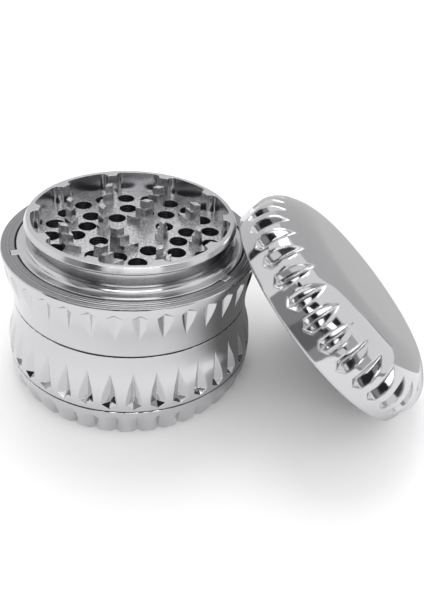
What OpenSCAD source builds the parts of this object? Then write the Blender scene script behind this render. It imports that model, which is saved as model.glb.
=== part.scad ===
// Four-section hand grinder for herbs and spices, lid taken off and leaning on the drum.
// Millimetres, +Z up, origin on the drum's axis at the ground, the viewer on the -Y side.

/* [Drum] */
// Outer radius at the widest part of the drum
drum_r = 31.6; // [31:0.1:33]
// Swell of the drum beyond its waist
belly_w = 2.35; // [2.2:0.05:2.5]
// Wall of the chamber at the waist
waist_wall = 2.25; // [2.15:0.05:2.35]
// Height of the pollen tray
tray_h = 8.5; // [8.2:0.1:10]
// Height of the catch chamber, seam to seam
chamber_h = 14.6; // [13.5:0.1:17]
// Height of the upper shell, seam to shoulder
shell_h = 13.8; // [13:0.1:16]
// Radius of the tray's rounded lower edge
foot_round = 12; // [11:0.5:16]
// Height of the widest ring of the tray
foot_wide_z = 6.5; // [6:0.1:7.5]
// Chamfer on the edges at each seam
seam_chamfer = 0.25; // [0.1:0.05:0.35]

/* [Hollow] */
// Thickness of the tray's floor
tray_floor = 1.8; // [1.4:0.1:2.2]
// Step from the tray's screw bore to its hollow
tray_step = 1.5; // [1.3:0.05:1.7]
// Step from the chamber's screw bore to its hollow
chamber_step = 1; // [0.8:0.05:1.2]
// Wall of a screw spigot
spigot_wall = 1.85; // [1.8:0.05:2]
// Length of the screw spigots
spigot_len = 4; // [3:0.1:4.2]
// Radial clearance of a spigot in its bore
spigot_gap = 0.15; // [0.1:0.05:0.25]
// End clearance below a spigot
spigot_end = 0.2; // [0.1:0.05:0.3]

/* [Screen] */
// Wall of the chamber's spigot round the screen
screen_wall = 2.55; // [2.45:0.05:2.7]
// Thickness of the mesh screen
screen_t = 0.4; // [0.3:0.05:0.6]
// Radial clearance round the mesh screen
screen_gap = 0.3; // [0.2:0.05:0.4]
// Overlap of the web over the screen
web_lip = 1.7; // [1.5:0.05:1.9]
// Thickness of the web above the screen
web_t = 1.9; // [1.4:0.1:2]
// Spacing of the mesh gaps
mesh_pitch = 2.9; // [2.9:0.1:3.5]
// Width of a mesh bar
mesh_bar = 0.7; // [0.5:0.05:0.9]
// Overlap of the ring under the screen
ring_lip = 1.4; // [1.2:0.05:1.5]
// Height of the ring that holds the screen
ring_h = 1.1; // [0.9:0.05:1.2]
// Width of the slit in that ring
ring_slit = 1.2; // [0.8:0.1:2]

/* [Flutes] */
// Number of flutes round each section
flute_count = 36; // [35:1:37]
// Half width of a drum flute at its pointed end
flute_half = 2.05; // [1.9:0.05:2.1]
// Half width of a lid flute at its pointed end
lid_flute_half = 1.8; // [1.7:0.05:1.9]
// Depth of the upper shell's flutes at the pointed end
shell_flute_depth = 1.1; // [0.9:0.05:1.2]
// Depth of the chamber's flutes at the pointed end
chamber_flute_depth = 1.45; // [1.2:0.05:1.5]
// Depth of the tray's flutes at the pointed end
tray_flute_depth = 1.3; // [1.1:0.05:1.4]
// Depth of the lid's flutes
lid_flute_depth = 1.8; // [1.6:0.05:1.9]
// Length of the pointed end of a flute
flute_point = 1.2; // [1:0.05:1.3]
// Distance of a shell flute's tip below the shoulder
shell_margin = 1.35; // [1.2:0.05:1.6]
// Distance of a chamber flute's tip above the seam
chamber_margin = 0.85; // [0.8:0.05:1.2]
// Distance of a tray flute's tip below the seam
tray_margin = 1.35; // [1.2:0.05:1.6]
// Turn of the upper shell's flutes from the front
shell_phase = 3; // [0:0.1:9]
// Turn of the chamber's flutes from the front
chamber_phase = 0.6; // [0:0.1:9]
// Turn of the tray's flutes from the front
tray_phase = 2.5; // [0:0.1:9]

/* [Grinding cup] */
// Ledge in the shell that the neck's skirt sits past
ledge_w = 0.5; // [0.4:0.05:0.6]
// Wall of the skirt round the grinding floor
skirt_wall = 1.6; // [1.5:0.05:1.7]
// Overlap of the neck over the grinding floor
seat_lip = 0.5; // [0.4:0.05:0.6]
// Wall of the neck behind a pocket
neck_wall = 1.1; // [1:0.05:1.2]
// Width of the flange beyond the skirt
flange_lip = 1.7; // [1.65:0.05:1.8]
// Width of the shoulder beyond the flange
shoulder_w = 3.5; // [3.4:0.05:3.7]
// Thickness of the flange
flange_t = 1.7; // [1.4:0.1:2]
// Clearance of the neck's flange in the shell
flange_gap = 0.1; // [0.05:0.01:0.15]
// Depth of the skirt below the flange
skirt_h = 2.2; // [1.8:0.1:2.6]
// Reach of the three tabs beyond the flange
tab_len = 1.4; // [1.2:0.05:1.6]
// Width of a tab
tab_w = 2.2; // [1.8:0.1:2.6]
// Angle of the first tab
tab_angle = 78; // [70:1:86]
// Height of the neck above the shoulder
neck_h = 6.2; // [5.8:0.1:6.6]
// Height of the neck's top band
band_h = 1.3; // [1:0.1:1.6]
// Depth of the groove below that band
groove_d = 0.5; // [0.3:0.05:0.6]
// Taper of that band towards its top
band_taper = 0.6; // [0.4:0.05:0.7]
// Radius of the hollow fillet at the foot of the neck
foot_r = 1.4; // [1.2:0.1:1.5]
// Height of the grinding floor above the shoulder
floor_rise = 0.5; // [0.3:0.05:0.6]
// Thickness of the grinding floor
floor_t = 2.4; // [2:0.1:2.6]
// Clearance of the grinding floor in the neck
seat_gap = 0.05; // [0.02:0.01:0.1]
// Depth of the pockets
rib_d = 1.7; // [1.6:0.05:1.8]
// Number of pockets
pocket_count = 10; // [9:1:10]
// Half angle of a pocket
pocket_half = 14.7; // [13:0.1:15]
// Corner radius of a pocket
pocket_round = 1.6; // [1.2:0.1:1.6]
// Angle of the first rib
rib_angle = 68; // [60:1:76]

/* [Holes] */
// Diameter of the holes in the grinding floor
hole_d = 4.4; // [4:0.1:4.6]
// Ring of the outer holes, as a share of the neck's radius
hole_share_a = 0.772; // [0.765:0.001:0.774]
// Ring of the middle holes, as a share of the neck's radius
hole_share_b = 0.536; // [0.528:0.001:0.54]
// Ring of the in-between holes, as a share of the neck's radius
hole_share_c = 0.46; // [0.454:0.001:0.47]
// Ring of the inner holes, as a share of the neck's radius
hole_share_d = 0.352; // [0.344:0.001:0.36]

/* [Teeth] */
// Ring of the eight outer teeth, as a share of the neck's radius
tooth_share_out = 0.664; // [0.658:0.001:0.67]
// Ring of the four inner teeth, as a share of the neck's radius
tooth_share_in = 0.316; // [0.31:0.001:0.322]
// Height of a tooth above the grinding floor
tooth_h = 5.5; // [5:0.1:5.6]
// Length of a tooth's top
tooth_len = 3.1; // [2.8:0.1:3.3]
// Width of a tooth's top
tooth_wid = 1.7; // [1.5:0.1:1.9]
// Direction of the steps, from the tooth's own radius
tooth_dir = 123; // [115:1:130]

/* [Magnets] */
// Radius of the magnet below the grinding floor
plate_magnet_r = 4; // [3.6:0.1:4.2]
// Radius of the magnet in the lid
lid_magnet_r = 3.5; // [3.2:0.1:3.6]
// Thickness of both magnets
magnet_t = 2; // [1.6:0.1:2.2]
// Clearance round a magnet
magnet_gap = 0.08; // [0.05:0.01:0.1]

/* [Lid] */
// Wall of the lid round the neck
lid_wall = 6.1; // [6:0.05:6.3]
// Run of the dome from the lid's side to its flat top
lid_slope = 13.6; // [13.4:0.1:14]
// Height of the lid
lid_h = 14.3; // [14:0.1:15]
// Height of the straight side of the lid
lid_side = 5; // [4.6:0.1:5.4]
// Radius of the lid's rounded edge next to the side
lid_round = 7; // [6.6:0.1:7.2]
// Height of a flute's tip above the lid's rim
lid_flute_z = 3; // [2.8:0.1:3.2]
// Inward run of a lid flute's valley
lid_flute_in = 2.5; // [2.2:0.1:2.6]
// Distance of a lid flute's far end below the lid's top
lid_flute_drop = 2.5; // [2.3:0.1:3]
// Turn of the lid's flutes
lid_phase = 6; // [0:0.5:9.5]
// Radial clearance of the lid over the neck
lid_gap = 0.4; // [0.3:0.05:0.5]
// Depth of the lid's wide bore
lid_bore_h = 6.6; // [6.4:0.1:7]
// Depth of the lid's whole hollow
lid_hollow_h = 11.4; // [11:0.1:11.8]
// Step from the lid's bore to its deep hollow
lid_step = 1.9; // [1.7:0.05:2.1]
// Ring of the lid's inner teeth, as a share of the neck's radius
lid_share_in = 0.476; // [0.472:0.001:0.484]
// Ring of the lid's outer teeth, as a share of the neck's radius
lid_share_out = 0.816; // [0.81:0.001:0.82]
// Clearance between tooth tips and the face they sweep
tooth_tip_gap = 0.4; // [0.3:0.05:0.5]
// Lean of the lid's axis from upright
lid_lean = 42.9; // [42:0.1:43.5]
// Direction in which the lid stands
lid_azimuth = -4.16; // [-6:0.02:-2]
// Sideways offset of the lid from the drum's axis
lid_offset = 6.56; // [6:0.02:7]
// Gap between the leaning lid and the drum
lean_gap = 0.3; // [0.3:0.05:0.6]

/* [Hidden] */
$fn = 128;
waist_r = drum_r - belly_w;
bore_r = waist_r - waist_wall;
spigot_r = bore_r - spigot_gap;
tray_in_r = bore_r - tray_step;
chamber_in_r = bore_r - chamber_step;
shell_in_r = spigot_r - spigot_wall;
recess_r = spigot_r - screen_wall;
screen_r = recess_r - screen_gap;
web_r = screen_r - web_lip;
ring_in_r = screen_r - ring_lip;
skirt_r = shell_in_r + ledge_w;
seat_r = skirt_r - skirt_wall;
pocket_r = seat_r - seat_lip;
rib_r = pocket_r - rib_d;
neck_r = pocket_r + neck_wall + groove_d;
flange_r = skirt_r + flange_lip;
tab_r = flange_r + tab_len;
shoulder_r = flange_r + shoulder_w;
hole_ring_a = neck_r * hole_share_a;
hole_ring_b = neck_r * hole_share_b;
hole_ring_c = neck_r * hole_share_c;
hole_ring_d = neck_r * hole_share_d;
tooth_ring_out = neck_r * tooth_share_out;
tooth_ring_in = neck_r * tooth_share_in;
lid_r = neck_r + lid_gap + lid_wall;
lid_top_r = lid_r - lid_slope;
lid_hollow_r = neck_r + lid_gap - lid_step;
lid_tooth_in = neck_r * lid_share_in;
lid_tooth_out = neck_r * lid_share_out;
chamber_z = tray_h;
shell_z = chamber_z + chamber_h;
shoulder_z = shell_z + shell_h;
floor_z = shoulder_z + floor_rise;
neck_top = shoulder_z + neck_h;
flange_z = shoulder_z - flange_t;
skirt_z = flange_z - skirt_h;
web_z = chamber_z - web_t;
screen_z = web_z - 0.05 - screen_t;
ring_z = screen_z - 0.05 - ring_h;
plate_pocket_z = floor_z - floor_t - magnet_t - 0.1;
lid_c1 = [lid_r - lid_round, lid_side];
lid_rise = lid_h - lid_side;
lid_in = lid_c1[0] - lid_top_r;
lid_big = (lid_in * lid_in + lid_rise * lid_rise - lid_round * lid_round) / (2 * (lid_rise - lid_round));
lid_c2 = [lid_top_r, lid_h - lid_big];
lid_far = lid_c2 + 1.5 * lid_big * (lid_c1 - lid_c2) / norm(lid_c1 - lid_c2);
rim_c = 0.3;
lid_cz = max(lid_r * sin(lid_lean) - rim_c * cos(lid_lean), (lid_r - rim_c) * sin(lid_lean)) + 0.05;
neck_x = sqrt(neck_r * neck_r - lid_offset * lid_offset);
shoulder_x = sqrt(shoulder_r * shoulder_r - lid_offset * lid_offset);
lean_foot = max(neck_x + (neck_top * cos(lid_lean) + lean_gap) / sin(lid_lean),
                shoulder_x + (shoulder_z * cos(lid_lean) + lean_gap) / sin(lid_lean));
lid_dist = lean_foot - lid_cz * cos(lid_lean) / sin(lid_lean);
boss_z = 1;
lid_flute_low = lid_flute_z + flute_point;
lid_valley = [for (t = [0 : 0.125 : 1])
    [lid_r - lid_flute_depth - lid_flute_in * t * t, lid_flute_low + (lid_h - lid_flute_drop - lid_flute_low) * t]];

// Outline that swings from one radius to another in two equal arcs
module swung_outline(r_low, z_low, r_high, z_high) {
    half_z = (z_high - z_low) / 2;
    half_r = abs(r_high - r_low) / 2;
    arc_r = (half_z * half_z + half_r * half_r) / (2 * half_r);
    mid_r = (r_low + r_high) / 2;
    big_z = r_low > r_high ? z_low : z_low + half_z;
    small_z = r_low > r_high ? z_low + half_z : z_low;
    arc_big_z = r_low > r_high ? z_low : z_high;
    arc_small_z = r_low > r_high ? z_high : z_low;
    intersection() {
        translate([0, big_z])
            square([max(r_low, r_high), half_z]);
        translate([max(r_low, r_high) - arc_r, arc_big_z])
            circle(arc_r);
    }
    difference() {
        translate([0, small_z])
            square([mid_r, half_z]);
        translate([min(r_low, r_high) + arc_r, arc_small_z])
            circle(arc_r);
    }
}

// Small triangle that breaks an outer edge
module edge_break(r, z, up) {
    polygon([[r - seam_chamfer, z], [r + 1, z - up], [r + 1, z + up * (seam_chamfer + 1)], [r, z + up * seam_chamfer]]);
}

// V-shaped cutter along a valley of [radius, height] points, with a pointed end at its first point, the top
module flute_cut(valley, depth, reach, half_w) {
    last = 3 * (len(valley) - 1);
    half = reach * half_w / depth;
    tip = len(valley) * 3;
    polyhedron(
        points = concat(
            [for (v = valley) each [[v[0], 0, v[1]], [v[0] + reach, half, v[1]], [v[0] + reach, -half, v[1]]]],
            [[valley[0][0] + reach, 0, valley[0][1] + reach * flute_point / depth]]),
        faces = concat(
            [[last, last + 2, last + 1], [1, 2, tip], [0, 1, tip], [0, tip, 2]],
            [for (i = [0 : 3 : last - 3]) each [
                [i + 3, i + 4, i + 1, i], [i + 3, i, i + 2, i + 5], [i + 4, i + 5, i + 2, i + 1]]]));
}

// Flutes with their points up
module flutes_up(phase, valley, depth, reach, half_w) {
    for (i = [0 : flute_count - 1])
        rotate([0, 0, phase - 90 + i * 360 / flute_count])
            flute_cut(valley, depth, reach, half_w);
}

// Flutes with their points down
module flutes_down(phase, valley, depth, reach, half_w) {
    mirror([0, 0, 1])
        flutes_up(phase, [for (v = valley) [v[0], -v[1]]], depth, reach, half_w);
}

// Bottom cup that catches the fine powder
module pollen_tray() {
    tip_z = tray_h - tray_margin;
    end_r = drum_r - tray_flute_depth;
    color([0.78, 0.78, 0.80])
    difference() {
        rotate_extrude()
        difference() {
            union() {
                intersection() {
                    square([drum_r, foot_wide_z]);
                    translate([drum_r - foot_round, foot_wide_z])
                        circle(foot_round);
                }
                square([drum_r - foot_round, foot_wide_z]);
                translate([0, foot_wide_z])
                    square([drum_r, tray_h - foot_wide_z]);
            }
            translate([0, tray_floor])
                square([tray_in_r, tray_h]);
            translate([0, chamber_z - spigot_len - spigot_end])
                square([bore_r, tray_h]);
            edge_break(drum_r, tray_h, -1);
        }
        flutes_up(tray_phase, [[end_r, tip_z - flute_point], [end_r - 1.5, -0.5]],
                  tray_flute_depth, tray_flute_depth + 0.35, flute_half);
    }
}

// Middle section with the web that carries the screen
module catch_chamber() {
    tip_z = chamber_z + chamber_margin;
    end_r = drum_r - chamber_flute_depth;
    open_r = waist_r + 0.1;
    color([0.80, 0.80, 0.82])
    difference() {
        rotate_extrude()
        difference() {
            union() {
                swung_outline(drum_r, chamber_z, waist_r, shell_z);
                translate([0, chamber_z - spigot_len])
                    square([spigot_r, spigot_len + 1]);
            }
            translate([0, chamber_z])
                square([chamber_in_r, chamber_h + 1]);
            translate([0, shell_z - spigot_len - spigot_end])
                square([bore_r, spigot_len + 2]);
            translate([0, chamber_z - spigot_len - 1])
                square([web_r, spigot_len + 2]);
            translate([0, chamber_z - spigot_len - 1])
                square([recess_r, web_z - chamber_z + spigot_len + 1]);
            edge_break(drum_r, chamber_z, 1);
            edge_break(waist_r, shell_z, -1);
        }
        flutes_down(chamber_phase, [[end_r, tip_z + flute_point], [open_r, shell_z - 0.2]],
                    chamber_flute_depth, chamber_flute_depth + 0.35, flute_half);
    }
}

// Fine metal mesh that the powder falls through
module mesh_screen() {
    span = floor((web_r - 1) / mesh_pitch);
    gap = mesh_pitch - mesh_bar;
    color([0.62, 0.62, 0.64])
    translate([0, 0, screen_z])
    linear_extrude(screen_t)
    difference() {
        circle(screen_r);
        for (i = [-span : span])
            for (j = [-span : span])
                if (norm([(abs(i) + 0.5) * mesh_pitch, (abs(j) + 0.5) * mesh_pitch]) < web_r)
                    translate([i * mesh_pitch - gap / 2, j * mesh_pitch - gap / 2])
                        square(gap);
    }
}

// Split spring ring that holds the screen up against the web
module screen_ring() {
    color([0.70, 0.70, 0.72])
    translate([0, 0, ring_z])
    difference() {
        cylinder(r = recess_r - 0.05, h = ring_h);
        translate([0, 0, -1])
            cylinder(r = ring_in_r, h = ring_h + 2);
        translate([0, -ring_slit / 2, -1])
            cube([recess_r + 1, ring_slit, ring_h + 2]);
    }
}

// Fluted outer shell of the grinding section
module upper_shell() {
    tip_z = shoulder_z - shell_margin;
    end_r = shoulder_r - shell_flute_depth;
    color([0.80, 0.80, 0.82])
    difference() {
        rotate_extrude()
        difference() {
            union() {
                swung_outline(waist_r, shell_z, shoulder_r, shoulder_z);
                translate([0, shell_z - spigot_len])
                    square([spigot_r, spigot_len + 1]);
            }
            translate([0, shell_z - spigot_len - 1])
                square([shell_in_r, shell_h + spigot_len + 2]);
            translate([0, skirt_z - flange_gap])
                square([skirt_r + flange_gap, shell_h]);
            translate([0, flange_z])
                square([flange_r + flange_gap, shell_h]);
            edge_break(shoulder_r, shoulder_z, -1);
            edge_break(waist_r, shell_z, 1);
        }
        flutes_up(shell_phase, [[end_r, tip_z - flute_point], [end_r, shell_z + 0.2]],
                  shell_flute_depth, shell_flute_depth + 0.35, flute_half);
        for (i = [0 : 2])
            rotate([0, 0, tab_angle + i * 120])
                translate([flange_r - 2, -tab_w / 2 - flange_gap, flange_z])
                    cube([tab_r - flange_r + 2 + flange_gap, tab_w + 2 * flange_gap, flange_t + 1]);
    }
}

// Outline of the lobed bore
module lobed_bore() {
    corner_r = pocket_r - pocket_round;
    corner_a = pocket_half - asin(pocket_round / corner_r);
    circle(rib_r);
    for (i = [0 : pocket_count - 1])
        rotate(rib_angle + (i + 0.5) * 360 / pocket_count) {
            intersection() {
                circle(pocket_r);
                polygon([[0, 0], pocket_r * 1.3 * [1, -tan(corner_a)], pocket_r * 1.3 * [1, tan(corner_a)]]);
            }
            for (s = [-1, 1])
                rotate(s * corner_a)
                    translate([corner_r, 0])
                        circle(pocket_round);
        }
}

// Rhombus with one corner at the origin
module rhombus(len, wid) {
    polygon([[0, 0], [len / 2, -wid / 2], [len, 0], [len / 2, wid / 2]]);
}

// Tooth with three steps
module stair_tooth() {
    translate([-tooth_len / 2, 0, 0])
        linear_extrude(tooth_h)
            rhombus(tooth_len, tooth_wid);
    translate([-tooth_len / 2 - 0.12, 0, 0])
        linear_extrude(tooth_h * 0.65)
            rhombus(tooth_len * 1.42, tooth_wid * 1.42);
    translate([-tooth_len / 2 - 0.24, 0, 0])
        linear_extrude(tooth_h * 0.26)
            rhombus(tooth_len * 2.15, tooth_wid * 1.9);
}

// Ring of holes through the grinding floor
module hole_ring(ring, count, start) {
    for (i = [0 : count - 1])
        rotate([0, 0, start + i * 360 / count])
            translate([ring, 0, floor_z - floor_t - 1])
                cylinder(d = hole_d, h = floor_t + 2, $fn = 48);
}

// Ring of stepped teeth on the grinding floor
module tooth_ring(ring, count, start, dir) {
    for (i = [0 : count - 1])
        rotate([0, 0, start + i * 360 / count])
            translate([ring, 0, floor_z])
                rotate([0, 0, dir])
                    stair_tooth();
}

// Neck that the lid turns on, with the lobed wall of the cup
module neck_ring() {
    wall_r = neck_r - groove_d;
    color([0.74, 0.74, 0.76])
    difference() {
        union() {
            rotate_extrude()
            polygon([
                [seat_r, skirt_z], [skirt_r, skirt_z], [skirt_r, flange_z], [flange_r, flange_z],
                [flange_r, shoulder_z - 0.2], [flange_r - 0.2, shoulder_z],
                for (a = [0 : 15 : 90])
                    [wall_r + foot_r * (1 - sin(a)), shoulder_z + foot_r * (1 - cos(a))],
                [wall_r, neck_top - band_h - groove_d], [neck_r, neck_top - band_h],
                [neck_r, neck_top - band_h + 0.2], [neck_r - band_taper, neck_top - 0.1],
                [neck_r - band_taper - 0.1, neck_top],
                [rib_r - 1, neck_top], [rib_r - 1, floor_z], [seat_r, floor_z]]);
            for (i = [0 : 2])
                rotate([0, 0, tab_angle + i * 120])
                    translate([flange_r - 2, -tab_w / 2, flange_z])
                        cube([tab_r - flange_r + 2, tab_w, flange_t]);
        }
        translate([0, 0, floor_z - 1])
            linear_extrude(neck_h + 2)
                lobed_bore();
    }
}

// Grinding floor with its holes and the boss for the magnet
module grinding_floor() {
    color([0.72, 0.72, 0.74])
    difference() {
        union() {
            translate([0, 0, floor_z - floor_t])
                cylinder(r = seat_r - seat_gap, h = floor_t);
            translate([0, 0, plate_pocket_z])
                cylinder(r = plate_magnet_r + 1.5, h = floor_z - plate_pocket_z);
        }
        translate([0, 0, plate_pocket_z - 1])
            cylinder(r = plate_magnet_r + magnet_gap, h = magnet_t + 1.1);
        hole_ring(hole_ring_a, 20, 5);
        hole_ring(hole_ring_b, 8, 5);
        hole_ring(hole_ring_c, 4, 73);
        hole_ring(hole_ring_d, 4, 26);
    }
}

// Twelve stepped teeth on the grinding floor
module floor_teeth() {
    color([0.74, 0.74, 0.76]) {
        tooth_ring(tooth_ring_out, 8, 21, tooth_dir);
        tooth_ring(tooth_ring_in, 4, 64, tooth_dir - 3);
    }
}

// Disc magnet below the grinding floor
module plate_magnet() {
    color([0.45, 0.45, 0.47])
    translate([0, 0, plate_pocket_z])
        cylinder(r = plate_magnet_r, h = magnet_t);
}

// Puts a piece of the lid where the lid leans
module lean_lid() {
    rotate([0, 0, lid_azimuth])
        translate([lid_dist, -lid_offset, lid_cz])
            rotate([0, lid_lean, 0])
                children();
}

// Half outline of the lid's outside
module lid_outline() {
    intersection() {
        square([lid_r, lid_h]);
        union() {
            square([lid_r, lid_side]);
            square([lid_top_r, lid_h]);
            translate(lid_c1)
                circle(lid_round);
            intersection() {
                translate(lid_c2)
                    circle(lid_big);
                polygon([lid_c2, lid_far, [lid_far[0], lid_h + 9], [lid_top_r, lid_h + 9]]);
            }
        }
    }
}

// Domed lid with a boss for its magnet
module lid() {
    color([0.80, 0.80, 0.82])
    lean_lid()
    difference() {
        union() {
            rotate_extrude()
            difference() {
                lid_outline();
                square([lid_hollow_r, lid_hollow_h]);
                translate([0, -1])
                    square([neck_r + lid_gap, lid_bore_h + 1]);
                polygon([[lid_r - rim_c, 0], [lid_r + 1, -1], [lid_r + 1, rim_c + 1], [lid_r, rim_c]]);
            }
            translate([0, 0, boss_z])
                cylinder(r = lid_magnet_r + 0.8, h = lid_hollow_h - boss_z + 0.5);
        }
        translate([0, 0, boss_z - 1])
            cylinder(r = lid_magnet_r + magnet_gap, h = magnet_t + 1.1);
        flutes_down(lid_phase, lid_valley, lid_flute_depth, lid_flute_depth + 0.5, lid_flute_half);
    }
}

// Ring of rhombic teeth hanging from the lid's roof
module hanging_ring(ring, count, len, wid) {
    for (i = [0 : count - 1])
        rotate([0, 0, i * 360 / count])
            translate([ring, -len / 2, floor_rise + tooth_tip_gap])
                rotate([0, 0, 90])
                    linear_extrude(lid_hollow_h - floor_rise - tooth_tip_gap)
                        rhombus(len, wid);
}

// Sixteen teeth under the lid's roof
module lid_teeth() {
    color([0.74, 0.74, 0.76])
    lean_lid() {
        hanging_ring(lid_tooth_in, 8, 4.4, 2.4);
        hanging_ring(lid_tooth_out, 8, 4.4, 2);
    }
}

// Disc magnet in the lid's boss
module lid_magnet() {
    color([0.45, 0.45, 0.47])
    lean_lid()
        translate([0, 0, boss_z])
            cylinder(r = lid_magnet_r, h = magnet_t);
}

pollen_tray();
catch_chamber();
mesh_screen();
screen_ring();
upper_shell();
neck_ring();
grinding_floor();
floor_teeth();
plate_magnet();
lid();
lid_teeth();
lid_magnet();
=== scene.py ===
import bpy
import math
from mathutils import Matrix, Vector

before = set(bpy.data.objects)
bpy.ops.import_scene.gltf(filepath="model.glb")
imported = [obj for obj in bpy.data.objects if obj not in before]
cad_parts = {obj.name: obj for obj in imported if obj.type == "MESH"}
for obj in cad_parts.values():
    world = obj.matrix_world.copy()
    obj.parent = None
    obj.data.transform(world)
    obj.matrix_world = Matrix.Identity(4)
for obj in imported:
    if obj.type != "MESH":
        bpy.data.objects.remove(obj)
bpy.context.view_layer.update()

# The pollen tray, the drum's foot: a shallow cup die-cast in zinc alloy, its flutes cast in, then
# polished and plated with bright nickel. The catch chamber's spigot screws into it.
MM = 0.001


def linear(hex_colour):
    """One sRGB hex colour as linear RGBA."""
    channels = [int(hex_colour[i:i + 2], 16) / 255 for i in (1, 3, 5)]
    return tuple(c / 12.92 if c < 0.04045 else ((c + 0.055) / 1.055) ** 2.4 for c in channels) + (1.0,)


def add_node(material, kind, settings=None, **inputs):
    """Adds one node. Settings are the node's properties; inputs are values, or sockets to link from.
    An input goes by its name or, where names repeat, by i and its number."""
    node = material.node_tree.nodes.new(kind)
    for name, value in (settings or {}).items():
        setattr(node, name, value)
    for name, value in inputs.items():
        by_number = name[0] == "i" and name[1:].isdigit()
        socket = node.inputs[int(name[1:]) if by_number else name.replace("_", " ")]
        if isinstance(value, bpy.types.NodeSocket):
            material.node_tree.links.new(value, socket)
        else:
            socket.default_value = value
    return node


def plug(metal, slot, socket):
    """Links a socket to one input of the metal's shader."""
    metal.node_tree.links.new(socket, metal.node_tree.nodes["Principled BSDF"].inputs[slot])


def plugged(metal, slot):
    """The socket that feeds one input of the metal's shader so far."""
    return metal.node_tree.nodes["Principled BSDF"].inputs[slot].links[0].from_socket


def dress(node_name, material):
    """Gives a CAD node its finish."""
    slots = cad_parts[node_name].data.materials
    slots.clear()
    slots.append(material)


def top_of(node_name):
    """Height of a CAD node's highest point, in the node's own coordinates as its patterns are."""
    return max(corner[2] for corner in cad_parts[node_name].bound_box)


def bright_plate(name, colours, smooth, dull, edge=0.18):
    """Metal with a thin plate or polish. Handling leaves a bloom in patches about 14 mm wide, between the two
    colours and from smooth to dull. The casting's orange peel shows in waves 6 mm wide, and polishing has
    rounded the edges by so many mm."""
    metal = bpy.data.materials.new(name)
    metal.use_nodes = True
    metal.node_tree.nodes["Principled BSDF"].inputs["Metallic"].default_value = 1.0
    place = add_node(metal, "ShaderNodeTexCoord").outputs["Object"]
    bloom = add_node(metal, "ShaderNodeTexNoise", Vector=place, Scale=1 / (14 * MM), Detail=5.0, Roughness=0.62)
    dulling = add_node(metal, "ShaderNodeMapRange", Value=bloom.outputs[0], From_Min=0.32, From_Max=0.72,
                       To_Min=smooth, To_Max=dull)
    plug(metal, "Roughness", dulling.outputs[0])
    tint = add_node(metal, "ShaderNodeMix", {"data_type": "RGBA"}, i0=bloom.outputs[0],
                    i6=linear(colours[0]), i7=linear(colours[1]))
    plug(metal, "Base Color", tint.outputs[2])
    soft_edge = add_node(metal, "ShaderNodeBevel", {"samples": 8}, Radius=edge * MM)
    peel = add_node(metal, "ShaderNodeTexNoise", Vector=place, Scale=1 / (6.0 * MM), Detail=1.0, Roughness=0.4)
    wave = add_node(metal, "ShaderNodeBump", Strength=0.16, Distance=0.3 * MM, Height=peel.outputs[0],
                    Normal=soft_edge.outputs[0])
    plug(metal, "Normal", wave.outputs[0])
    return metal


def facing_up(metal):
    """How far a face looks up: 1 for a level face, 0 for a wall."""
    normal = add_node(metal, "ShaderNodeNewGeometry").outputs["True Normal"]
    return add_node(metal, "ShaderNodeSeparateXYZ", Vector=normal).outputs["Z"]


def lay_shade_and_grime(metal, mask):
    """Darkens and dulls the plate where the mask is 1."""
    tint = add_node(metal, "ShaderNodeMix", {"data_type": "RGBA"}, i0=mask,
                    i6=plugged(metal, "Base Color"), i7=linear("#3C3C3C"))
    plug(metal, "Base Color", tint.outputs[2])
    dull = add_node(metal, "ShaderNodeMix", i0=mask, i2=plugged(metal, "Roughness"), i3=0.55)
    plug(metal, "Roughness", dull.outputs[0])


def seam_shade_and_grime(metal, seams):
    """A hairline of painted shade and grime, of uneven width, on the walls beside the seams where two sections meet:
    the shade of the gap between them, and oil and dust in it.
    """
    place = add_node(metal, "ShaderNodeTexCoord").outputs["Object"]
    height = add_node(metal, "ShaderNodeSeparateXYZ", Vector=place).outputs["Z"]
    uneven = add_node(metal, "ShaderNodeTexNoise", Vector=place, Scale=1 / (1.1 * MM), Detail=3.0, Roughness=0.6)
    width = add_node(metal, "ShaderNodeMapRange", Value=uneven.outputs[0], From_Min=0.3, From_Max=0.7,
                     To_Min=0.12 * MM, To_Max=0.24 * MM)
    line = 0.0
    for seam in seams:
        away = add_node(metal, "ShaderNodeMath", {"operation": "SUBTRACT"}, i0=height, i1=seam)
        away = add_node(metal, "ShaderNodeMath", {"operation": "ABSOLUTE"}, i0=away.outputs[0])
        near = add_node(metal, "ShaderNodeMath", {"operation": "LESS_THAN"}, i0=away.outputs[0], i1=width.outputs[0])
        line = add_node(metal, "ShaderNodeMath", {"operation": "MAXIMUM"}, i0=near.outputs[0], i1=line).outputs[0]
    level = add_node(metal, "ShaderNodeMath", {"operation": "ABSOLUTE"}, i0=facing_up(metal))
    wall = add_node(metal, "ShaderNodeMath", {"operation": "LESS_THAN"}, i0=level.outputs[0], i1=0.9)
    line = add_node(metal, "ShaderNodeMath", {"operation": "MULTIPLY"}, i0=line, i1=wall.outputs[0])
    lay_shade_and_grime(metal, line.outputs[0])


# Bright nickel plate on zinc alloy: a near mirror that shows its surroundings, with dark hairlines of painted shade
# and grime at the seams.
PLATE = ("#D0D0D2", "#C6C6C8")
tray_seam = top_of("pollen_tray")
chamber_seam = top_of("catch_chamber")
drum_plate = bright_plate("bright_nickel_plate", PLATE, 0.045, 0.10)
seam_shade_and_grime(drum_plate, (tray_seam, chamber_seam))
dress("pollen_tray", drum_plate)

# The catch chamber, the drum's middle: an open ring of the same plated casting. A spigot below
# screws into the tray, and a bore above takes the shell.
dress("catch_chamber", drum_plate)

# The mesh screen, plain woven stainless wire, and the split spring ring that holds it up
# against the web inside the chamber's spigot.
# Drawn wire is grey and soft in its shine; the ground spring steel is a little brighter.
dress("mesh_screen", bright_plate("stainless_wire_mesh", ("#B4B4B4", "#9E9E9E"), 0.24, 0.38))
dress("screen_ring", bright_plate("bright_spring_steel", ("#BDBDBF", "#ADADAF"), 0.14, 0.26))


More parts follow.
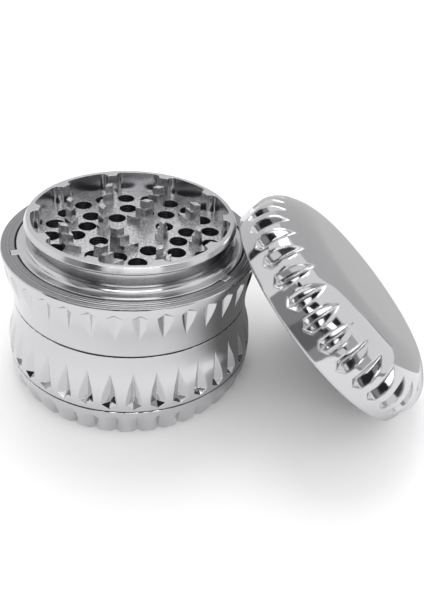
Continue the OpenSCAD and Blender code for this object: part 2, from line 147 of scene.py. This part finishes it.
# The upper shell, plated like the sections below it. Its top face was turned flat after
# polishing, and three notches in it take the neck's tabs.
def from_axis(metal):
    """A point's distance from the drum's axis, and its height."""
    place = add_node(metal, "ShaderNodeTexCoord").outputs["Object"]
    split = add_node(metal, "ShaderNodeSeparateXYZ", Vector=place)
    flat = add_node(metal, "ShaderNodeCombineXYZ", X=split.outputs["X"], Y=split.outputs["Y"])
    radius = add_node(metal, "ShaderNodeVectorMath", {"operation": "LENGTH"}, i0=flat.outputs[0])
    return radius.outputs["Value"], split.outputs["Z"]


# Nickel plate with a satin shoulder: the walls are mirrors, and the turned top is soft, with rings that draw a
# highlight out along the radius, and its colour is darker than the plate's, as painted shade.
# Real lathe marks are finer than the 0.4 mm drawn here to show.
RINGS = 0.4 * MM
INNER_EDGE = 27.55 * MM
NOTCH_END = 29.2 * MM
shoulder = top_of("upper_shell")
shell_plate = bright_plate("nickel_plate_with_satin_shoulder", PLATE, 0.045, 0.10)
radius, height = from_axis(shell_plate)
level = add_node(shell_plate, "ShaderNodeMath", {"operation": "GREATER_THAN"}, i0=facing_up(shell_plate), i1=0.95)
high = add_node(shell_plate, "ShaderNodeMath", {"operation": "GREATER_THAN"}, i0=height, i1=shoulder - 0.9 * MM)
satin = add_node(shell_plate, "ShaderNodeMath", {"operation": "MULTIPLY"},
                 i0=level.outputs[0], i1=high.outputs[0]).outputs[0]
rings = add_node(shell_plate, "ShaderNodeTexNoise", {"noise_dimensions": "1D"}, W=radius, Scale=1 / RINGS,
                 Detail=1.0, Roughness=0.6).outputs[0]
ring_bump = add_node(shell_plate, "ShaderNodeBump", Strength=satin, Distance=0.16 * MM, Height=rings,
                     Normal=plugged(shell_plate, "Normal"))
plug(shell_plate, "Normal", ring_bump.outputs[0])
satin_rough = add_node(shell_plate, "ShaderNodeMix", i0=satin, i2=plugged(shell_plate, "Roughness"), i3=0.22)
plug(shell_plate, "Roughness", satin_rough.outputs[0])
# Painted shade: the turned top takes a darker colour than the plate, with lighter and darker rings.
shaded_turning_tone = add_node(shell_plate, "ShaderNodeMix", {"data_type": "RGBA"}, i0=rings,
                   i6=linear("#8A8A8C"), i7=linear("#A4A4A6"))
satin_shade_tint = add_node(shell_plate, "ShaderNodeMix", {"data_type": "RGBA"}, i0=satin,
                      i6=plugged(shell_plate, "Base Color"), i7=shaded_turning_tone.outputs[2])
plug(shell_plate, "Base Color", satin_shade_tint.outputs[2])

# Painted shade and grime darken and dull the joint round the neck's flange and the walls of the notches: the shade in
# the gaps there, and the dirt in them.
inside = add_node(shell_plate, "ShaderNodeMath", {"operation": "LESS_THAN"}, i0=radius, i1=INNER_EDGE)
joint = add_node(shell_plate, "ShaderNodeMath", {"operation": "MULTIPLY"}, i0=inside.outputs[0], i1=satin)
in_notch = add_node(shell_plate, "ShaderNodeMath", {"operation": "LESS_THAN"}, i0=radius, i1=NOTCH_END)
steep = add_node(shell_plate, "ShaderNodeMath", {"operation": "SUBTRACT"}, i0=high.outputs[0], i1=satin)
notch = add_node(shell_plate, "ShaderNodeMath", {"operation": "MULTIPLY"}, i0=in_notch.outputs[0], i1=steep.outputs[0])
gap_shade_and_grime = add_node(shell_plate, "ShaderNodeMath", {"operation": "MAXIMUM"}, i0=joint.outputs[0], i1=notch.outputs[0])
lay_shade_and_grime(shell_plate, gap_shade_and_grime.outputs[0])
seam_shade_and_grime(shell_plate, (chamber_seam,))
dress("upper_shell", shell_plate)

# The neck that the lid turns on, with the lobed wall of the cup and three tabs that key it into the
# shell. It is the same plated alloy, turned on a lathe and left so.
# Turned plate: a satin shine that blurs what it shows, and rings on the flange, 0.8 mm wide so that they show.
NECK_RINGS = 0.8 * MM
turned = bright_plate("turned_nickel_plate", ("#D4D4D6", "#C8C8CA"), 0.15, 0.24)
radius, height = from_axis(turned)
travel = add_node(turned, "ShaderNodeMath", {"operation": "MULTIPLY_ADD"}, i0=height, i1=1.7, i2=radius)
rings = add_node(turned, "ShaderNodeTexNoise", {"noise_dimensions": "1D"}, W=travel.outputs[0],
                 Scale=1 / NECK_RINGS, Detail=2.0, Roughness=0.6)
level = add_node(turned, "ShaderNodeMath", {"operation": "GREATER_THAN"}, i0=facing_up(turned), i1=0.95)
low = add_node(turned, "ShaderNodeMath", {"operation": "LESS_THAN"}, i0=height, i1=shoulder + 1.1 * MM)
flange = add_node(turned, "ShaderNodeMath", {"operation": "MULTIPLY"}, i0=level.outputs[0], i1=low.outputs[0])
ring_bump = add_node(turned, "ShaderNodeBump", Strength=flange.outputs[0], Distance=0.05 * MM,
                     Height=rings.outputs[0], Normal=plugged(turned, "Normal"))
plug(turned, "Normal", ring_bump.outputs[0])
dress("neck_ring", turned)

# The grinding floor, cast with the neck, lightly blasted and then drilled.
# Blasted plate: a soft, mottled grain. Blasting grit is finer than the 0.5 mm drawn here to show. The holes'
# walls are coloured dark, as painted shade, with the drill's rings down them.
GRIT = 0.5 * MM
DRILL_RINGS = 0.55 * MM
blasted = bright_plate("blasted_nickel_plate", ("#DEDEE0", "#CCCCCE"), 0.22, 0.36)
place = add_node(blasted, "ShaderNodeTexCoord").outputs["Object"]
grain = add_node(blasted, "ShaderNodeTexNoise", Vector=place, Scale=1 / GRIT, Detail=4.0, Roughness=0.7).outputs[0]
grain_bump = add_node(blasted, "ShaderNodeBump", Strength=0.5, Distance=0.1 * MM, Height=grain,
                      Normal=plugged(blasted, "Normal"))
speckle = add_node(blasted, "ShaderNodeMapRange", Value=grain, From_Min=0.38, From_Max=0.62)
mottle = add_node(blasted, "ShaderNodeMix", {"data_type": "RGBA"}, i0=speckle.outputs[0],
                  i6=linear("#A8A8AA"), i7=linear("#E4E4E6"))
height = add_node(blasted, "ShaderNodeSeparateXYZ", Vector=place).outputs["Z"]
turns = add_node(blasted, "ShaderNodeMath", {"operation": "MULTIPLY"}, i0=height, i1=2 * math.pi / DRILL_RINGS)
turns = add_node(blasted, "ShaderNodeMath", {"operation": "SINE"}, i0=turns.outputs[0])
level = add_node(blasted, "ShaderNodeMath", {"operation": "ABSOLUTE"}, i0=facing_up(blasted))
wall = add_node(blasted, "ShaderNodeMath", {"operation": "LESS_THAN"}, i0=level.outputs[0], i1=0.4).outputs[0]
drill_bump = add_node(blasted, "ShaderNodeBump", Strength=wall, Distance=0.08 * MM, Height=turns.outputs[0],
                      Normal=grain_bump.outputs[0])
plug(blasted, "Normal", drill_bump.outputs[0])
# Painted shade: the walls of the floor and its holes are coloured dark.
shaded_wall_tone = add_node(blasted, "ShaderNodeMix", {"data_type": "RGBA"}, i0=wall, i6=mottle.outputs[2], i7=linear("#3C3C3E"))
plug(blasted, "Base Color", shaded_wall_tone.outputs[2])
dress("grinding_floor", blasted)

# The twelve stepped teeth, cast on the floor and only tumbled before plating.
# Tumbled plate: dull enough that each face of a tooth keeps one shade. The casting's skin is drawn 0.7 mm
# wide, coarser than it is, to show.
SKIN = 0.7 * MM
tumbled = bright_plate("tumbled_nickel_plate", ("#D2D2D4", "#C2C2C4"), 0.26, 0.38)
place = add_node(tumbled, "ShaderNodeTexCoord").outputs["Object"]
skin = add_node(tumbled, "ShaderNodeTexNoise", Vector=place, Scale=1 / SKIN, Detail=4.0, Roughness=0.7).outputs[0]
speckle = add_node(tumbled, "ShaderNodeMapRange", Value=skin, From_Min=0.36, From_Max=0.6)
mottle = add_node(tumbled, "ShaderNodeMix", {"data_type": "RGBA"}, i0=speckle.outputs[0],
                  i6=linear("#A0A0A2"), i7=linear("#D8D8DA"))
plug(tumbled, "Base Color", mottle.outputs[2])
skin_bump = add_node(tumbled, "ShaderNodeBump", Strength=0.25, Distance=0.1 * MM, Height=skin,
                     Normal=plugged(tumbled, "Normal"))
plug(tumbled, "Normal", skin_bump.outputs[0])
dress("floor_teeth", tumbled)

# The disc magnet pressed into the grinding floor from below, sintered and nickel plated.
# Plate on a sintered disc: greyer and softer in its shine than on a polished casting.
magnet = bright_plate("plated_magnet", ("#B2B2B4", "#A0A0A2"), 0.12, 0.24)
dress("plate_magnet", magnet)

# The domed lid, cast, polished and plated like the drum, with teeth and a magnet on a boss under its roof.
# The brightest plate on the part: a clear mirror, with flutes that polishing has worn round.
dress("lid", bright_plate("bright_nickel_plate_on_lid", PLATE, 0.035, 0.08, edge=0.9))
dress("lid_teeth", tumbled)
dress("lid_magnet", magnet)

# The studio: a white paper table in a white room, with one soft lamp high at the back and a strip in front.
# Grey and dark cards stand where only the plate sees them, and give it a wall and a dim room to reflect.
TABLE_REACH = 1.5
table_mesh = bpy.data.meshes.new("table")
table_mesh.from_pydata([(-TABLE_REACH, -TABLE_REACH, 0), (TABLE_REACH, -TABLE_REACH, 0),
                        (TABLE_REACH, TABLE_REACH, 0), (-TABLE_REACH, TABLE_REACH, 0)], [], [(0, 1, 2, 3)])
table = bpy.data.objects.new("table", table_mesh)
table.location.z = -0.02 * MM
bpy.context.collection.objects.link(table)
paper = bpy.data.materials.new("white_paper")
paper.use_nodes = True
paper_shader = paper.node_tree.nodes["Principled BSDF"]
paper_shader.inputs["Base Color"].default_value = linear("#F8F8F8")
paper_shader.inputs["Roughness"].default_value = 0.9
paper_shader.inputs["Specular IOR Level"].default_value = 0.0
table_mesh.materials.append(paper)


def stand_card(name, corners, colour):
    """A flat card of even brightness, seen only in reflections."""
    mesh = bpy.data.meshes.new(name)
    mesh.from_pydata(corners, [], [(0, 1, 2, 3)])
    board = bpy.data.materials.new(name)
    board.use_nodes = True
    board.node_tree.nodes.clear()
    glow = add_node(board, "ShaderNodeEmission", Color=linear(colour), Strength=1.0)
    add_node(board, "ShaderNodeOutputMaterial", Surface=glow.outputs[0])
    mesh.materials.append(board)
    card = bpy.data.objects.new(name, mesh)
    card.visible_camera = False
    card.visible_diffuse = False
    card.visible_shadow = False
    bpy.context.collection.objects.link(card)
    return card


def upright_corners(bearing, distance, start, end, low, high):
    """Corners of an upright card that faces the object. The bearing is in degrees from the back towards the right."""
    out = Vector((math.sin(math.radians(bearing)), math.cos(math.radians(bearing)), 0.0))
    along = Vector((out.y, -out.x, 0.0))
    return [tuple(out * distance + along * x + Vector((0.0, 0.0, z))) for x, z in
            ((start, low), (end, low), (end, high), (start, high))]


# Upright cards: bearing, distance, start and end along the card, low and high edge, colour.
for name, bearing, distance, start, end, low, high, colour in (
        ("back_wall", -20, 0.90, -0.65, 0.62, -0.01, 0.66, "#E4E4E4"),
        ("grey_wall", 40, 0.88, -0.48, 0.56, -0.01, 1.25, "#CECECE"),
        ("wall_edge", 40, 0.87, 0.53, 0.55, -0.01, 0.24, "#808080"),
        ("front_room", 150, 0.60, -0.35, 0.60, -0.01, 0.85, "#C8C8CA"),
        ("left_room", 222, 0.60, -0.33, 0.33, -0.01, 0.95, "#9C9C9E"),
        ("front_sheet", 172, 0.56, -0.24, 0.22, -0.01, 0.15, "#F4F4F4"),
        ("dark_curtain", 180, 0.57, -0.60, 0.60, 0.15, 0.31, "#4A4A4C"),
        ("low_cabinet", 217, 0.59, -0.24, 0.20, -0.01, 0.16, "#767678"),
        ("dark_frame_1", 212, 0.58, -0.24, 0.24, 0.26, 0.62, "#2C2C2E"),
        ("dark_frame_2", 215, 0.58, -0.10, 0.10, 0.90, 1.40, "#2C2C2E"),
        ("dark_frame_3", 256, 0.58, -0.08, 0.08, 0.42, 1.05, "#2C2C2E"),
        ("dark_frame_4", 289, 0.58, -0.06, 0.06, 0.42, 0.76, "#2C2C2E"),
        ("dark_frame_5", 303, 0.58, -0.06, 0.06, 0.28, 0.48, "#2C2C2E"),
        ("dark_frame_6", 180, 0.58, -0.26, 0.26, 0.545, 0.95, "#2C2C2E"),
        ("dark_frame_7", 140, 0.58, -0.14, 0.14, 0.40, 0.62, "#2C2C2E")):
    stand_card(name, upright_corners(bearing, distance, start, end, low, high), colour)

# Cards that lie just above the table, seen only in reflections: a grey sheet of painted shade on the table right of
# and behind the lid, and a grey sheet over the table in front, from 0.18 m out.
LIE = 0.4 * MM
stand_card("lid_side_table_shade", [(0.05, 0.04, LIE), (0.10, -0.01, LIE), (1.2, 0.10, LIE), (0.0, 1.2, LIE)], "#CECECE")
stand_card("front_grey_sheet", [(-1.2, -1.2, LIE), (1.2, -1.2, LIE), (1.2, -0.18, LIE), (-1.2, -0.18, LIE)], "#A4A4A4")

# The lid keeps the light off the table beside the drum. This card, clear at its rim, gives the drum that shade
# to reflect.
SHADE_CENTRE = (0.056, 0.005, 0.0)
shade = stand_card("shade", [(0.0, -0.05, LIE), (0.11, -0.05, LIE), (0.11, 0.06, LIE), (0.0, 0.06, LIE)], "#6C6C6C")
board = shade.data.materials[0]
place = add_node(board, "ShaderNodeTexCoord").outputs["Object"]
away = add_node(board, "ShaderNodeVectorMath", {"operation": "DISTANCE"}, i0=place, i1=SHADE_CENTRE)
cover = add_node(board, "ShaderNodeMapRange", {"interpolation_type": "SMOOTHSTEP"}, Value=away.outputs["Value"],
                 From_Min=0.020, From_Max=0.050, To_Min=1.0, To_Max=0.0)
clear = add_node(board, "ShaderNodeBsdfTransparent")
sheet = add_node(board, "ShaderNodeMixShader", i0=cover.outputs[0], i1=clear.outputs[0],
                 i2=board.node_tree.nodes["Emission"].outputs[0])
board.node_tree.links.new(sheet.outputs[0], board.node_tree.nodes["Material Output"].inputs["Surface"])

# Lamps: place, width and height in metres, and watts. Both face the object.
for name, place, wide, tall, power in (("overhead", (0.0, 0.44, 0.97), 0.50, 0.40, 2.4),
                                       ("front_strip", (0.0, -0.46, 0.37), 0.55, 0.10, 0.55)):
    lamp_data = bpy.data.lights.new(name, "AREA")
    lamp_data.shape = "RECTANGLE"
    lamp_data.size = wide
    lamp_data.size_y = tall
    lamp_data.energy = power
    lamp = bpy.data.objects.new(name, lamp_data)
    lamp.location = place
    lamp.rotation_euler = (-lamp.location).to_track_quat("-Z", "Y").to_euler()
    bpy.context.collection.objects.link(lamp)

# The white room: plain white to the camera and in reflections, and a little less as light on the table.
ROOM_LIGHT = 0.97
world = bpy.data.worlds.new("studio")
bpy.context.scene.world = world
world.use_nodes = True
backdrop = world.node_tree.nodes["Background"]
backdrop.inputs["Color"].default_value = (1, 1, 1, 1)
path = add_node(world, "ShaderNodeLightPath")
seen = add_node(world, "ShaderNodeMath", {"operation": "ADD"},
                i0=path.outputs["Is Camera Ray"], i1=path.outputs["Is Glossy Ray"])
seen = add_node(world, "ShaderNodeMath", {"operation": "ADD", "use_clamp": True},
                i0=seen.outputs[0], i1=path.outputs["Is Transmission Ray"])
level = add_node(world, "ShaderNodeMapRange", Value=seen.outputs[0], To_Min=ROOM_LIGHT, To_Max=1.0)
world.node_tree.links.new(level.outputs[0], backdrop.inputs["Strength"])

# The camera, fitted to the drum's circles and flutes in the photo. Its lens is in the photo's pixels.
CAMERA = Vector((0.0, -126.4, 108.4)) * MM
YAW, PITCH, ROLL = (math.radians(angle) for angle in (9.49, 35.33, 5.65))
LENS_PIXELS = 586.7
PHOTO_HEIGHT = 600
SENSOR = 36.0
forward = Vector((math.sin(YAW) * math.cos(PITCH), math.cos(YAW) * math.cos(PITCH), -math.sin(PITCH)))
across = Vector((math.cos(YAW), -math.sin(YAW), 0.0))
upright = across.cross(forward)
side = math.cos(ROLL) * across + math.sin(ROLL) * upright
up = -math.sin(ROLL) * across + math.cos(ROLL) * upright
camera_data = bpy.data.cameras.new("camera")
camera_data.sensor_fit = "VERTICAL"
camera_data.sensor_height = SENSOR
camera_data.lens = LENS_PIXELS / PHOTO_HEIGHT * SENSOR
camera_data.clip_start = 5 * MM
camera = bpy.data.objects.new("camera", camera_data)
camera.matrix_world = Matrix.Translation(CAMERA) @ Matrix((side, up, -forward)).transposed().to_4x4()
bpy.context.collection.objects.link(camera)
bpy.context.scene.camera = camera
bpy.context.scene.view_settings.view_transform = "Standard"
